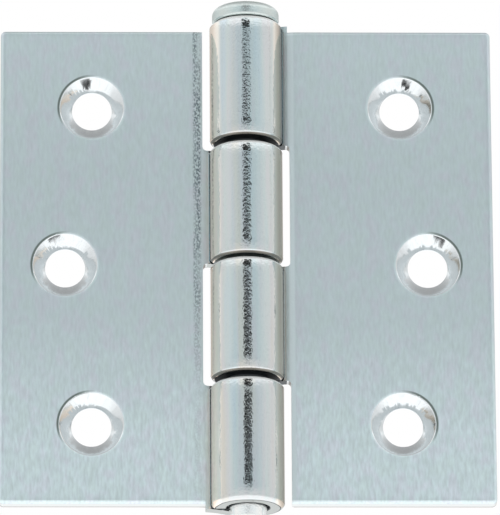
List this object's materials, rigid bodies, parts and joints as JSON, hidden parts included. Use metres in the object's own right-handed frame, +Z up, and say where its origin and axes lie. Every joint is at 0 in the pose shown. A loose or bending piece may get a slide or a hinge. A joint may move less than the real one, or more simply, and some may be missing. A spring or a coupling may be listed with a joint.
{
  "type": "heavy-duty butt hinge",
  "caption": "Square rolled steel butt hinge with countersunk leaves, zinc plated, opened flat; the leaves fold together about a fixed pin with a domed head.",
  "frame": {"origin": "on the pin's axis, half-way up the leaves, which is the middle of the opened hinge's box", "axes": "+Z up along the pin towards its head, +X across to the right leaf, +Y away from the countersunk faces, into the door or frame"},
  "size_m": [0.08, 0.0118, 0.0879],
  "materials": {
    "zinc_plated_leaf": "bright zinc plating on rolled sheet steel, satin leaves and burnished knuckles",
    "zinc_plated_pin": "bright zinc plating on a headed steel pin"
  },
  "bodies": {
    "fixed_leaf": {"left_leaf": "zinc_plated_leaf", "hinge_pin": "zinc_plated_pin"},
    "swinging_leaf": {"right_leaf": "zinc_plated_leaf"}
  },
  "joints": [
    {"name": "leaf_swing", "type": "hinge", "parent": "fixed_leaf", "child": "swinging_leaf", "pos_m": [0, 0, 0], "axis": [0, 0, 1], "range_deg": [-180, 130]}
  ]
}
